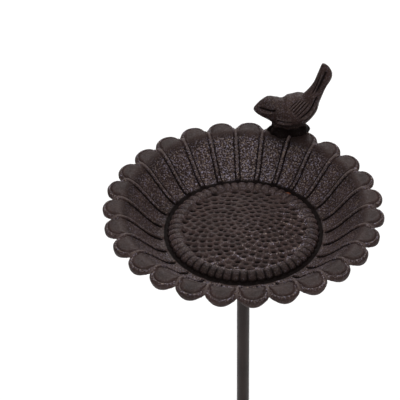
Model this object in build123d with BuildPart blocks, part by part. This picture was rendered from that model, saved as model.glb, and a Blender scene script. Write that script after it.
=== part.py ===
from build123d import *
import os
from math import cos, radians, sin

# A garden bird feeder on a pole: a cast-iron dish shaped as a sunflower head, with a cast
# bird standing on its rim, screwed onto a round steel pole that ends in a spike and a
# step-on foot.  Millimetres, +Z up.  The origin is on the pole's axis at ground level,
# which is the underside of the foot's arm when it has been trodden in.  -Y is the front.

# ---------------------------------------------------------------- driving dimensions
RIM_Z = 930.0            # the plane of the petal tips above the ground
SPIKE_Z = -110.0         # both spikes' tips below the ground
JOINT_Z = 425.0          # where the pole's two rods meet

POLE_R = 4.75            # 9.5 mm round bar
THREAD_R = 4.0           # M8, as a plain cylinder over the crests
STUD_R = 2.5             # M5 coupling stud
STUD_LENGTH = 24.0
STUD_HOLE = 13.0         # depth of the tapped hole in each rod
POINT_LENGTH = 11.0
POINT_R = 0.8            # blunt end of a point
EDGE = 0.4               # chamfer on a sawn rod end
RUNNING = 0.05           # radial clearance of a thread that turns
SNUG = 0.02              # radial clearance of a thread that stays put

PETALS = 27
PETAL_STEP = 360 / PETALS
PETAL_PHASE = -5.9       # bearing of the first petal's tip
TIP_R = 100.0
NOTCH_R = 94.0
RIM_THICKNESS = 6.2
CHANNEL_DROP = 1.6       # how far a petal's hollow lies under the rim plane

SEEDS_R = 42.0           # the seed head in the middle, a low dome inside a raised border
SEEDS_TOP = -20.7        # heights in the dish are measured from the rim plane
SEEDS_EDGE = -23.4
SEEDS_HALFWAY = -21.4    # height of the dome halfway out
BORDER_R = 47.5          # crest of the border
BORDER_TOP = -21.3
BORDER_EDGE_R = 53.0
BORDER_EDGE = -23.6
GROOVE_INNER_R = 53.6
GROOVE_R = 57.5          # where the wall starts
FLOOR_TOP = -26.5
FLOOR_BOTTOM = -30.5
WALL_TOP_R = 87.0        # where the bowl's wall flares into the rim
UNDERSIDE_R = 61.5       # the wall's outside, at its foot and under the rim
UNDERSIDE_TOP_R = 90.0
HOLLOW_R = 49.0          # the underside is hollowed out behind the seed head
DISC_THICKNESS = 6.5
RIDGE_WIDTH = 2.4        # the raised ridge between two petals
RIDGE_RISE = 2.2
RIDGE_LENGTH = 36.3
RIDGE_BAR = 60.0         # height of the bar that each ridge is cut from

BOSS_R = 11.0
BOSS_BOTTOM = -42.0
BOSS_HOLE_TOP = -24.5
ROD_TOP = -25.5          # the rod's upper end inside the boss
SHOULDER = -52.0         # where the full bar starts under the thread

NUT_ACROSS_FLATS = 13.0
NUT_HEIGHT = 6.5
NUT_OVERHANG = 1.1       # past the flats, a little more than the six corners reach
NUT_TURNED = 0.6         # height that the turned faces take off the corners
WASHER_R = 8.0
WASHER_HOLE_R = 4.2
WASHER_THICKNESS = 1.6
SEAT_GAP = 0.05          # between faces of parts that turn on each other

FOOT_R = 4.0             # 8 mm round bar
FOOT_REACH = 86.6        # pole axis to leg axis
FOOT_BEARING = 23.3      # the foot's direction, counted from +X towards +Y
FOOT_BEND = 9.0
WELD_R = 6.2
WELD_GAP = 0.01
TRIM_R = 10.0            # round cutter that trims the arm's end to the pole
TRIM_HEIGHT = 30.0

BIRD_RADIUS = 91.0       # where the bird's screw passes the rim
BIRD_BEARING = PETAL_PHASE + 5.5 * PETAL_STEP
BIRD_Y = 86.5            # the upright plane that cuts the bird from beak to tail
MOUND_X = 33.5           # middle of the mound under the bird
MOUND_FOOT_Y = 88.0
MOUND_FOOT = (14.0, 7.5)  # half length and half width of the mound
MOUND_TOP = (11.8, 7.0)
MOUND_FOOT_Z = -4.8
MOUND_TOP_Z = 12.0
PAD_R = 5.6
PAD_BOTTOM = -8.6
PAD_HEIGHT = 5.0
SPOT_FACE_R = 5.0
SCREW_R = 2.0            # M4
SCREW_TOP = 8.0
SCREW_HOLE_R = 2.25
TAP_RUNOUT = 1.0         # the tapped hole goes on past the screw's end
HEAD_R = 4.0
HEAD_HEIGHT = 2.6
HEAD_ROUNDING = 1.2
SLOT_WIDTH = 1.1
SLOT_DEPTH = 1.2
SMALL_WASHER_R = 4.5
SMALL_WASHER_HOLE_R = 2.15
SMALL_WASHER_THICKNESS = 0.8

# oval sections of the bird: (x, height over the rim, lean from upright in degrees, half
# height, half width), from the beak to the rump and from inside the rump to the tail's tip
BODY_SECTIONS = [
    (7.6, 20.6, 0, 1.3, 1.2),
    (12.2, 21.3, 0, 6.3, 4.9),
    (17.5, 21.6, 0, 9.2, 7.8),
    (25.0, 18.6, 0, 10.7, 10.0),
    (33.5, 19.2, 4, 12.2, 12.2),
    (42.5, 21.5, 14, 12.5, 11.4),
    (49.5, 25.0, 30, 9.0, 8.6),
    (53.0, 29.0, 40, 5.5, 4.8),
]
TAIL_SECTIONS = [
    (45.0, 24.2, 58, 8.6, 7.6),
    (50.9, 33.0, 60, 6.3, 5.4),
    (55.1, 42.0, 63, 5.2, 3.5),
    (58.6, 51.0, 66, 5.7, 2.7),
    (58.2, 60.8, 70, 2.6, 1.5),
]

# ---------------------------------------------------------------- planes and points
SECTION = Plane.XZ
RIM_SECTION = Plane(origin=(0, 0, RIM_Z), x_dir=(1, 0, 0), z_dir=(0, -1, 0))
FOOT_DIRECTION = (cos(radians(FOOT_BEARING)), sin(radians(FOOT_BEARING)))
FOOT_PLANE = Plane(
    origin=(0, 0, 0),
    x_dir=(FOOT_DIRECTION[0], FOOT_DIRECTION[1], 0),
    z_dir=(FOOT_DIRECTION[1], -FOOT_DIRECTION[0], 0),
)
LEG = (FOOT_REACH * FOOT_DIRECTION[0], FOOT_REACH * FOOT_DIRECTION[1])
BIRD_BASE = (
    BIRD_RADIUS * cos(radians(BIRD_BEARING)),
    BIRD_RADIUS * sin(radians(BIRD_BEARING)),
)


def on_circle(radius, bearing):
    return (radius * cos(radians(bearing)), radius * sin(radians(bearing)))


def wall_curve(foot, lip):
    """The bowl's wall in section: level at its foot, steep, and level again at the rim."""
    reach = (lip[0] - foot[0]) / 3
    return Bezier(foot, (foot[0] + reach, foot[1]), (lip[0] - reach, lip[1]), lip)


# ---------------------------------------------------------------- dish
# The 27 raised ridges between the petals: thin radial bars trimmed to a skin that follows
# the bowl's wall just above the petals.
with BuildPart(Plane.XY.offset(RIM_Z + FLOOR_TOP / 2)) as ridges:
    with PolarLocations((GROOVE_R + NOTCH_R) / 2, PETALS, PETAL_PHASE + PETAL_STEP / 2):
        Box(RIDGE_LENGTH, RIDGE_WIDTH, RIDGE_BAR)
    with BuildSketch(RIM_SECTION):
        with BuildLine():
            crest_foot = (GROOVE_R, FLOOR_TOP + RIDGE_RISE)
            crest_lip = (WALL_TOP_R, -CHANNEL_DROP + RIDGE_RISE)
            wall_curve(crest_foot, crest_lip)
            Polyline(
                crest_lip,
                (TIP_R, crest_lip[1]),
                (TIP_R, crest_lip[1] - 2 * RIDGE_RISE),
                (WALL_TOP_R + 2, crest_lip[1] - 2 * RIDGE_RISE),
            )
            wall_curve(
                (GROOVE_R + 2, crest_foot[1] - 2 * RIDGE_RISE),
                (WALL_TOP_R + 2, crest_lip[1] - 2 * RIDGE_RISE),
            )
            Line((GROOVE_R + 2, crest_foot[1] - 2 * RIDGE_RISE), crest_foot)
        make_face()
    revolve(axis=Axis.Z, mode=Mode.INTERSECT)

with BuildPart() as dish:
    # the casting in section: seed head, groove, wall, rim, and the threaded boss beneath
    with BuildSketch(RIM_SECTION):
        with BuildLine():
            ThreePointArc((0, SEEDS_TOP), (SEEDS_R / 2, SEEDS_HALFWAY), (SEEDS_R, SEEDS_EDGE))
            ThreePointArc(
                (SEEDS_R, SEEDS_EDGE),
                (BORDER_R, BORDER_TOP),
                (BORDER_EDGE_R, BORDER_EDGE),
            )
            Polyline(
                (BORDER_EDGE_R, BORDER_EDGE),
                (GROOVE_INNER_R, FLOOR_TOP),
                (GROOVE_R, FLOOR_TOP),
            )
            wall_curve((GROOVE_R, FLOOR_TOP), (WALL_TOP_R, -CHANNEL_DROP))
            Polyline(
                (WALL_TOP_R, -CHANNEL_DROP),
                (TIP_R + 1, -CHANNEL_DROP),
                (TIP_R + 1, -RIM_THICKNESS),
                (UNDERSIDE_TOP_R, -RIM_THICKNESS),
            )
            wall_curve((UNDERSIDE_R, FLOOR_BOTTOM), (UNDERSIDE_TOP_R, -RIM_THICKNESS))
            Polyline(
                (UNDERSIDE_R, FLOOR_BOTTOM),
                (HOLLOW_R, FLOOR_BOTTOM),
                (HOLLOW_R / 2, SEEDS_TOP - DISC_THICKNESS),
                (BOSS_R, SEEDS_TOP - DISC_THICKNESS),
                (BOSS_R, BOSS_BOTTOM),
                (THREAD_R + RUNNING, BOSS_BOTTOM),
                (THREAD_R + RUNNING, BOSS_HOLE_TOP),
                (0, BOSS_HOLE_TOP),
                (0, SEEDS_TOP),
            )
        make_face()
    revolve(axis=Axis.Z)
    # a round pad under the rim, spot-faced to seat the bird's screw
    with BuildSketch(Plane((BIRD_BASE[0], BIRD_BASE[1], RIM_Z + PAD_BOTTOM))):
        Circle(PAD_R)
    extrude(amount=PAD_HEIGHT)
    with BuildSketch(Plane((BIRD_BASE[0], BIRD_BASE[1], RIM_Z + PAD_BOTTOM))):
        Circle(SPOT_FACE_R)
    extrude(amount=-PAD_HEIGHT, mode=Mode.SUBTRACT)
    add(ridges.part)
    # the scalloped outline, one arc for each petal's tip
    with BuildSketch(Plane.XY.offset(RIM_Z + BOSS_BOTTOM)):
        with BuildLine():
            for petal in range(PETALS):
                bearing = PETAL_PHASE + petal * PETAL_STEP
                ThreePointArc(
                    on_circle(NOTCH_R, bearing - PETAL_STEP / 2),
                    on_circle(TIP_R, bearing),
                    on_circle(NOTCH_R, bearing + PETAL_STEP / 2),
                )
        make_face()
    extrude(amount=RIDGE_RISE - BOSS_BOTTOM, mode=Mode.INTERSECT)
    with BuildSketch(Plane((BIRD_BASE[0], BIRD_BASE[1], RIM_Z + PAD_BOTTOM))):
        Circle(SCREW_HOLE_R)
    extrude(amount=RIDGE_RISE - PAD_BOTTOM, mode=Mode.SUBTRACT)
dish.part.label = "dish"

# ---------------------------------------------------------------- bird and its screw
with BuildPart() as bird:
    for sections in (BODY_SECTIONS, TAIL_SECTIONS):
        for x, height, lean, half_height, half_width in sections:
            along = (cos(radians(lean)), 0, sin(radians(lean)))
            with BuildSketch(Plane((x, BIRD_Y, RIM_Z + height), x_dir=(0, 1, 0), z_dir=along)):
                Ellipse(half_width, half_height)
        loft()
    # the mound that it stands on, shaped to the rim beneath
    with BuildSketch(Plane((MOUND_X, MOUND_FOOT_Y, RIM_Z + MOUND_FOOT_Z))):
        Ellipse(MOUND_FOOT[0], MOUND_FOOT[1])
    with BuildSketch(Plane((MOUND_X, BIRD_Y, RIM_Z + MOUND_TOP_Z))):
        Ellipse(MOUND_TOP[0], MOUND_TOP[1])
    loft()
    add(dish.part, mode=Mode.SUBTRACT)
    with BuildSketch(Plane((BIRD_BASE[0], BIRD_BASE[1], RIM_Z + SCREW_TOP + TAP_RUNOUT))):
        Circle(SCREW_R + SNUG)
    extrude(amount=PAD_BOTTOM - SCREW_TOP, mode=Mode.SUBTRACT)
bird.part.label = "bird"

with BuildPart() as bird_washer:
    top = RIM_Z + PAD_BOTTOM
    with BuildSketch(Plane((BIRD_BASE[0], BIRD_BASE[1], top - SMALL_WASHER_THICKNESS))):
        Circle(SMALL_WASHER_R)
        Circle(SMALL_WASHER_HOLE_R, mode=Mode.SUBTRACT)
    extrude(amount=SMALL_WASHER_THICKNESS)
bird_washer.part.label = "bird_washer"

HEAD_TOP = RIM_Z + PAD_BOTTOM - SMALL_WASHER_THICKNESS
with BuildPart() as bird_screw:
    with BuildSketch(Plane((BIRD_BASE[0], BIRD_BASE[1], HEAD_TOP - HEAD_HEIGHT))):
        Circle(HEAD_R)
    extrude(amount=HEAD_HEIGHT)
    fillet(bird_screw.edges().group_by(Axis.Z)[0], HEAD_ROUNDING)
    with BuildSketch(Plane((BIRD_BASE[0], BIRD_BASE[1], HEAD_TOP))):
        Circle(SCREW_R)
    extrude(amount=RIM_Z + SCREW_TOP - HEAD_TOP)
    chamfer(bird_screw.edges().group_by(Axis.Z)[-1], EDGE)
    # driver slot
    with Locations((BIRD_BASE[0], BIRD_BASE[1], HEAD_TOP - HEAD_HEIGHT)):
        Box(3 * HEAD_R, SLOT_WIDTH, 2 * SLOT_DEPTH, mode=Mode.SUBTRACT)
bird_screw.part.label = "bird_screw"

# ---------------------------------------------------------------- lock nut and washer
WASHER_TOP = RIM_Z + BOSS_BOTTOM - SEAT_GAP
with BuildPart() as dish_washer:
    with BuildSketch(Plane.XY.offset(WASHER_TOP - WASHER_THICKNESS)):
        Circle(WASHER_R)
        Circle(WASHER_HOLE_R, mode=Mode.SUBTRACT)
    extrude(amount=WASHER_THICKNESS)
dish_washer.part.label = "dish_washer"

NUT_TOP = WASHER_TOP - WASHER_THICKNESS
with BuildPart() as dish_lock_nut:
    with BuildSketch(Plane.XY.offset(NUT_TOP - NUT_HEIGHT)):
        RegularPolygon(NUT_ACROSS_FLATS / 2, 6, major_radius=False)
    extrude(amount=NUT_HEIGHT)
    # both faces are turned, which takes the six corners' ends off
    with BuildSketch(SECTION):
        with BuildLine():
            Polyline(
                (0, NUT_TOP),
                (NUT_ACROSS_FLATS / 2, NUT_TOP),
                (NUT_ACROSS_FLATS / 2 + NUT_OVERHANG, NUT_TOP - NUT_TURNED),
                (NUT_ACROSS_FLATS / 2 + NUT_OVERHANG, NUT_TOP - NUT_HEIGHT + NUT_TURNED),
                (NUT_ACROSS_FLATS / 2, NUT_TOP - NUT_HEIGHT),
                (0, NUT_TOP - NUT_HEIGHT),
                close=True,
            )
        make_face()
    revolve(axis=Axis.Z, mode=Mode.INTERSECT)
    with Locations((0, 0, NUT_TOP)):
        Cylinder(THREAD_R + SNUG, 3 * NUT_HEIGHT, mode=Mode.SUBTRACT)
dish_lock_nut.part.label = "dish_lock_nut"

# ---------------------------------------------------------------- the pole's two rods
with BuildPart() as upper_rod:
    bottom = JOINT_Z + SEAT_GAP
    with BuildSketch(SECTION):
        with BuildLine():
            Polyline(
                (STUD_R + RUNNING, bottom),
                (POLE_R - EDGE, bottom),
                (POLE_R, bottom + EDGE),
                (POLE_R, RIM_Z + SHOULDER - EDGE),
                (THREAD_R, RIM_Z + SHOULDER),
                (THREAD_R, RIM_Z + ROD_TOP - EDGE),
                (THREAD_R - EDGE, RIM_Z + ROD_TOP),
                (0, RIM_Z + ROD_TOP),
                (0, JOINT_Z + STUD_HOLE),
                (STUD_R + RUNNING, JOINT_Z + STUD_HOLE),
                close=True,
            )
        make_face()
    revolve(axis=Axis.Z)
upper_rod.part.label = "upper_rod"

with BuildPart() as coupling_stud:
    with BuildSketch(Plane.XY.offset(JOINT_Z)):
        Circle(STUD_R)
    extrude(amount=STUD_LENGTH / 2, both=True)
    chamfer(coupling_stud.edges().filter_by(GeomType.CIRCLE), EDGE)
coupling_stud.part.label = "coupling_stud"

with BuildPart() as lower_rod:
    with BuildSketch(SECTION):
        with BuildLine():
            Polyline(
                (0, SPIKE_Z),
                (POINT_R, SPIKE_Z),
                (POLE_R, SPIKE_Z + POINT_LENGTH),
                (POLE_R, JOINT_Z - EDGE),
                (POLE_R - EDGE, JOINT_Z),
                (STUD_R + SNUG, JOINT_Z),
                (STUD_R + SNUG, JOINT_Z - STUD_HOLE),
                (0, JOINT_Z - STUD_HOLE),
                close=True,
            )
        make_face()
    revolve(axis=Axis.Z)
lower_rod.part.label = "lower_rod"

# ---------------------------------------------------------------- step-on foot
with BuildPart() as step_foot:
    with BuildLine(FOOT_PLANE) as foot_line:
        FilletPolyline(
            (0, FOOT_R),
            (FOOT_REACH, FOOT_R),
            (FOOT_REACH, SPIKE_Z + POINT_LENGTH),
            radius=FOOT_BEND,
        )
    with BuildSketch(Plane(origin=(0, 0, FOOT_R), z_dir=FOOT_PLANE.x_dir)):
        Circle(FOOT_R)
    sweep(path=foot_line.wires()[0])
    with Locations((LEG[0], LEG[1], SPIKE_Z + POINT_LENGTH / 2)):
        Cone(POINT_R, FOOT_R, POINT_LENGTH)
    # the arm's end is cut to the pole's side
    with Locations((0, 0, FOOT_R)):
        Cylinder(POLE_R + WELD_GAP, TRIM_HEIGHT, mode=Mode.SUBTRACT)
        with Locations((-TRIM_R * FOOT_DIRECTION[0], -TRIM_R * FOOT_DIRECTION[1], 0)):
            Cylinder(TRIM_R, TRIM_HEIGHT, mode=Mode.SUBTRACT)
step_foot.part.label = "step_foot"

with BuildPart() as foot_weld:
    with Locations((POLE_R * FOOT_DIRECTION[0], POLE_R * FOOT_DIRECTION[1], FOOT_R)):
        Sphere(WELD_R)
    with Locations((0, 0, FOOT_R)):
        Cylinder(POLE_R + WELD_GAP, TRIM_HEIGHT, mode=Mode.SUBTRACT)
    with BuildSketch(Plane(origin=(0, 0, FOOT_R), z_dir=FOOT_PLANE.x_dir)):
        Circle(FOOT_R + WELD_GAP)
    extrude(amount=2 * WELD_R, mode=Mode.SUBTRACT)
foot_weld.part.label = "foot_weld"

# ---------------------------------------------------------------- files
PIECES = [
    dish,
    bird,
    bird_screw,
    bird_washer,
    dish_washer,
    dish_lock_nut,
    upper_rod,
    coupling_stud,
    lower_rod,
    step_foot,
    foot_weld,
]
os.makedirs("parts", exist_ok=True)
for piece in PIECES:
    export_step(piece.part, f"parts/{piece.part.label}.step")
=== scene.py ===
from math import cos, pi, radians, sin, sqrt, tau

import bmesh
import bpy
import numpy as np
from mathutils import Matrix, Vector


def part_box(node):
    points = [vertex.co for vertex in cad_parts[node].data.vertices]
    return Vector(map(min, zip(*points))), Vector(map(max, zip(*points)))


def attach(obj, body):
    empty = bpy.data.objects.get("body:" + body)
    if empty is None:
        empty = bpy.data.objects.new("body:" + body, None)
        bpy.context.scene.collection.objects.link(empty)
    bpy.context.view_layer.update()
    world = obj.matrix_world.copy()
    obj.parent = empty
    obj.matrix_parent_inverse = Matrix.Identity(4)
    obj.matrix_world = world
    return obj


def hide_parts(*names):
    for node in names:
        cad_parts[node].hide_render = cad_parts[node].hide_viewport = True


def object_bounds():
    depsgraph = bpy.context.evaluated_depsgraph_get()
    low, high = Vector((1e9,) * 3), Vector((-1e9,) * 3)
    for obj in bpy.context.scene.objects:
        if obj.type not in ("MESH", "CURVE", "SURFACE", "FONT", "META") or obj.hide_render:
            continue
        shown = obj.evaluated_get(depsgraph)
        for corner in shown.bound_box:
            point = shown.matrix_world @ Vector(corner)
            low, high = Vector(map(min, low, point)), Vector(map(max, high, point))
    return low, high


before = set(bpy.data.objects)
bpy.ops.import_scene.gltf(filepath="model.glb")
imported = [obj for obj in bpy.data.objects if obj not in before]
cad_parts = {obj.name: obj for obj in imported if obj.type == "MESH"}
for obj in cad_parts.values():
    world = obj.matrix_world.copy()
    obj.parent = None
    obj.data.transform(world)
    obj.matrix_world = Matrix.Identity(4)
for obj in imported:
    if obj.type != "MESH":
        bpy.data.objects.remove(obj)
CAD_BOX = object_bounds()

# The looks of a cast-iron bird feeder on a pole.  Lengths are in millimetres, and MM turns them
# into metres where a mesh is made.  Heights in the dish and the bird are counted from RIM, the
# plane of the petals.
MM = 0.001

# -------- places taken from the frame
DISH_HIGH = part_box("dish")[1]
RIDGE_CREST = 0.6               # the ridges between petals stand this far over the rim
RIM = DISH_HIGH.z / MM - RIDGE_CREST
ROD_LOW, ROD_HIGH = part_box("upper_rod")
ROD_R = ROD_HIGH.x / MM
SCREW_LOW, SCREW_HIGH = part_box("bird_screw")
SCREW_AXIS = ((SCREW_LOW + SCREW_HIGH) / 2 / MM).to_2d()
NUT_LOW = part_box("dish_lock_nut")[0]
FOOT_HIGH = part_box("step_foot")[1]
FOOT_R = (FOOT_HIGH.z / MM) / 2         # the foot's arm lies on the ground
WELD_LOW, WELD_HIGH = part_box("foot_weld")

# -------- the dish
PETALS = 27
STEP = 360 / PETALS
PHASE = -5.9                    # bearing of the first petal's tip
TIP_R = 100.0
NOTCH_R = 93.4
HALF_STEP = radians(STEP / 2)
# each petal's tip is an arc from notch to notch, about a centre on the petal's own axis
TIP_REACH = TIP_R - NOTCH_R * cos(HALF_STEP)
ARC_R = ((NOTCH_R * sin(HALF_STEP)) ** 2 + TIP_REACH**2) / (2 * TIP_REACH)
ARC_CENTRE = TIP_R - ARC_R

WALL_FOOT_R, WALL_LIP_R = 57.5, 90.0    # where the bowl's wall starts, and where it flares flat
WALL_FOOT, WALL_LIP = -25.4, -1.1
CHANNEL_RISE = 0.8              # a petal's hollow lifts towards the ridge beside it
CHANNEL_REACH = 2.6
BEAD_HALF = 1.4                 # half the width of the ridge between two petals
BEAD_RISE = 1.05
BEAD_START = 2.0                # each ridge rises over this distance from the wall's foot
BEAD_END_R, BEAD_END_DROP = 87.5, 2.2   # each ridge sinks as it comes to its notch
BEAD_LINE = 1.75                # the thin groove beside each ridge
BEAD_LINE_WIDTH = 0.45
BEAD_LINE_DEPTH = 0.85
FACET_MARGIN = 3.1              # from a petal's outline to the crease round its face
FACET_FROM_R, CREASE_FROM_R = 79.0, 80.0    # where the raised face and its crease begin
FACET_BLEND = 8.0               # and the distance over which they do
FACET_STEP = 0.85               # from the raised face down to the band outside it
FACET_STEP_IN, FACET_STEP_WIDTH = 0.3, 0.8
FACET_LINE_DEPTH = 0.4
FACET_LINE_WIDTH = 0.6
FACET_CORNER = 1.6              # how softly the crease turns at a petal's corners
FACET_CROWN = 0.35
ROLL_RISE = 0.35                # the rolled edge in the band outside the crease
ROLL_OUT, ROLL_HALF = 1.5, 1.1  # its distance from the crease, and half its width
EDGE_ROUND = 1.6                # how far in the outer edge starts to turn down
EDGE_DROP = 1.8
EDGE_BOTTOM = -7.4
NOTCH_LIFT = 3.8                # the edge is thinner at the notches
PETAL_UNEVEN = 0.3              # no two petals are quite alike
PETAL_LIFT = np.random.default_rng(5).normal(0, PETAL_UNEVEN, PETALS)

GROOVE_BOTTOM = -25.6
GROOVE_IN = 55.1                # the groove's floor starts here
BORDER_IN, BORDER_CREST_R, BORDER_OUT = 43.0, 47.8, 54.0
BORDER_FOOT, BORDER_CREST, BORDER_EDGE = -22.8, -20.8, -24.3
BORDER_FALL_IN, BORDER_FALL = 0.3, 1.0  # its outer edge falls into the groove
RIBS = 2 * PETALS
RIB_DEPTH = 0.75
RIB_INNER_SHARE, RIB_GROWTH = 0.45, 0.55    # ribs are shallower on the border's inner side
RIB_GROWTH_REACH, RIB_START = 8.0, 2.0
RIB_NOTCH, RIB_NOTCH_REACH = 0.9, 3.0   # a valley cuts this far into the border's outer edge
RIB_SHARPNESS = 2.2
RIB_WANDER = ((0.08, 5, 2.6), (0.045, 17, 2.0))     # (share of a rib, waves in a round, phase)
RIB_UNEVEN, RIB_BEATS = 0.35, (2.4, 1.7)    # the ribs' depths differ, without a pattern

SEEDS = 240
SEED_SPIRAL, SEED_POWER = 2.03, 0.56    # radius of seed n is SEED_SPIRAL * n ** SEED_POWER
SEED_START = 0.6                # bearing of the spiral's beginning
GOLDEN_ANGLE = pi * (3 - sqrt(5))
HEXAGONAL = 0.866               # area of a closely packed seed over its spacing squared
SEED_WANDER = 0.085             # each strays by about this share of the spacing
SEED_UNEVEN, SEED_DEPTHS = 0.15, (0.6, 1.4)     # their depths differ, within these limits
SEED_SQUASH = 0.87              # the dimples are wider from left to right,
SEED_REAR_SQUASH = 0.09         # and more so behind the middle
SEED_REAR_FROM, SEED_REAR_REACH = -5, 30
SEED_SHARE = 0.46               # a dimple's radius, as a share of the spacing
BOWL_EDGE, BOWL_SLOPE = 1.15, 0.95      # a dimple's edge and side, in its radii
NODE_EDGE, NODE_SLOPE = 1.05, 0.3       # a node of the net lies this far from every dimple
SEED_END, SEED_FADE = 1.2, 2.2  # the dimples end before the border's crest
SEED_TOP, SEED_EDGE = -20.3, -22.7      # the seed field is a low dome
SEED_DEPTH = 1.25               # of the dimple where each seed sat
SEED_NODE = 0.4                 # the net rises where three dimples meet
SEED_INNER_SHARE, SEED_GROWTH = 0.75, 0.35  # the relief is lower in the middle

UNDER_FOOT_R, UNDER_LIP_R = 61.5, 89.0
UNDER_FOOT = -30.5
HOLLOW_R, HOLLOW_TOP = 49.0, -27.2
BOSS_R, BOSS_BOTTOM = 11.0, -42.0
BORE_R, BORE_TOP = 4.05, -24.5

AROUND = 28                     # mesh columns in one petal


def smoothstep(value):
    t = np.clip(value, 0.0, 1.0)
    return t * t * (3 - 2 * t)


def ramp(value, start, length):
    """A soft change from 0 at start to 1 at start plus length."""
    return smoothstep((value - start) / length)


def bell(value, middle, width):
    """1 at the middle, and falling off softly on both sides."""
    return np.exp(-(((value - middle) / width) ** 2))


def bearings(per_petal, clustered):
    """Bearings in radians of a ring's points.  With clustered at 1 they crowd beside the ridges,
    and at 0 they are evenly spaced."""
    half = per_petal // 2
    share = np.arange(half + 1) / half
    crowded = 0.5 * share**1.5
    even = 0.5 * share
    from_notch = clustered * crowded + (1 - clustered) * even
    across = np.concatenate([-0.5 + from_notch, 0.5 - from_notch[-2:0:-1]])
    turns = (np.arange(PETALS)[:, None] + across[None, :]).ravel()
    return np.radians(PHASE + STEP * turns)


def off_axis(bearing):
    """Signed angle from the nearest petal's axis."""
    turns = (np.degrees(bearing) - PHASE) / STEP
    return np.radians(STEP * (turns - np.round(turns)))


def outline(bearing, inset=0.0):
    """Radius of the scalloped outline, or of the line that runs inset inside it."""
    phi = off_axis(bearing)
    inside = (ARC_R - inset) ** 2 - (ARC_CENTRE * np.sin(phi)) ** 2
    return ARC_CENTRE * np.cos(phi) + np.sqrt(np.maximum(inside, 0.0))


def petal_creases(radius, bearing):
    """Distances on a petal: to the ridge beside it, to its outline, and to the crease round its
    raised face, which counts as negative outside the face."""
    phi = off_axis(bearing)
    side = radius * np.sin(HALF_STEP - np.abs(phi))
    x = radius * np.cos(phi) - ARC_CENTRE
    y = radius * np.sin(phi)
    edge = ARC_R - np.hypot(x, y)
    edge = np.where(x < 0, np.maximum(edge, FACET_MARGIN * 3), edge)
    by_side = np.exp(-(side - BEAD_LINE) / FACET_CORNER)
    by_edge = np.exp(-(edge - FACET_MARGIN) / FACET_CORNER)
    return side, edge, -FACET_CORNER * np.log(by_side + by_edge)


def petal_lines(radius, bearing):
    """How strongly a point lies in the grooves beside the ridges and in the tips' creases."""
    side, _, crease = petal_creases(radius, bearing)
    tip = ramp(radius, CREASE_FROM_R, FACET_BLEND)
    beside = bell(side, BEAD_LINE, BEAD_LINE_WIDTH)
    around = bell(crease, 0, FACET_LINE_WIDTH)
    start = ramp(radius, WALL_FOOT_R, BEAD_START)
    return beside * start * (1 - tip), around * tip


def petal_height(radius, bearing):
    """Height of the petals, from the wall's foot to the outline."""
    side, edge, crease = petal_creases(radius, bearing)
    beside, around = petal_lines(radius, bearing)
    climb = ramp(radius, WALL_FOOT_R, WALL_LIP_R - WALL_FOOT_R)
    height = WALL_FOOT + (WALL_LIP - WALL_FOOT) * climb
    height += CHANNEL_RISE * bell(side, 0, CHANNEL_REACH)
    start = ramp(radius, WALL_FOOT_R, BEAD_START)
    bead = np.sqrt(np.maximum(0.0, 1 - (side / BEAD_HALF) ** 2))
    height += BEAD_RISE * bead * start
    sink = ramp(radius, BEAD_END_R, NOTCH_R - BEAD_END_R)
    height -= BEAD_END_DROP * sink * bell(side, 0, CHANNEL_REACH)
    height -= BEAD_LINE_DEPTH * beside
    # the tip: a nearly flat face inside its crease, and a lower band with a roll outside it
    tip = ramp(radius, FACET_FROM_R, FACET_BLEND)
    half_width = radius * np.sin(HALF_STEP)
    crown = 1 - np.clip((half_width - side) / half_width, 0, 1) ** 2
    petal = np.round((np.degrees(bearing) - PHASE) / STEP).astype(int) % PETALS
    height += tip * (FACET_CROWN + PETAL_LIFT[petal]) * crown
    height -= tip * FACET_STEP * smoothstep((FACET_STEP_IN - crease) / FACET_STEP_WIDTH)
    height -= FACET_LINE_DEPTH * around
    roll = np.maximum(0.0, 1 - ((crease + ROLL_OUT) / ROLL_HALF) ** 2)
    height += tip * ROLL_RISE * roll
    turned = np.clip((EDGE_ROUND - edge) / EDGE_ROUND, 0, 1)
    return height - EDGE_DROP * (1 - np.sqrt(1 - turned**2))


def edge_bottom(bearing):
    """Height of the rim's underside at the outline."""
    near_notch = np.abs(off_axis(bearing)) / HALF_STEP
    return EDGE_BOTTOM + NOTCH_LIFT * near_notch**2


def seed_points():
    """Centres, spacings and depths of the dimples, in a spiral that opens towards the border."""
    rng = np.random.default_rng(11)
    n = np.arange(1, SEEDS + 1)
    radius = SEED_SPIRAL * n**SEED_POWER
    angle = n * GOLDEN_ANGLE + SEED_START
    spacing = radius * np.sqrt(tau * SEED_POWER / n / HEXAGONAL)
    wander = rng.normal(0, SEED_WANDER, (SEEDS, 2)) * spacing[:, None]
    x = radius * np.cos(angle) + wander[:, 0]
    y = radius * np.sin(angle) + wander[:, 1]
    depth = np.clip(1 + rng.normal(0, SEED_UNEVEN, SEEDS), *SEED_DEPTHS)
    return x, y, spacing, depth


SEED_X, SEED_Y, SEED_SPACING, SEED_WEIGHT = seed_points()


def seed_field(radius, bearing):
    """How far a point lies in a dimple, and how far on a node of the net between them."""
    x = radius * np.cos(bearing)
    y = radius * np.sin(bearing)
    behind = ramp(y, SEED_REAR_FROM, SEED_REAR_REACH)
    squash = (SEED_SQUASH - SEED_REAR_SQUASH * behind)[:, None]
    dx = (x[:, None] - SEED_X) * squash
    dy = (y[:, None] - SEED_Y) / squash
    away = np.hypot(dx, dy) / (SEED_SHARE * SEED_SPACING)
    bowl = smoothstep((BOWL_EDGE - away) / BOWL_SLOPE) * SEED_WEIGHT
    fade = smoothstep((BORDER_CREST_R - SEED_END - radius) / SEED_FADE)
    node = ramp(away.min(axis=1), NODE_EDGE, NODE_SLOPE)
    return bowl.max(axis=1) * fade, node * fade


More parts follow.
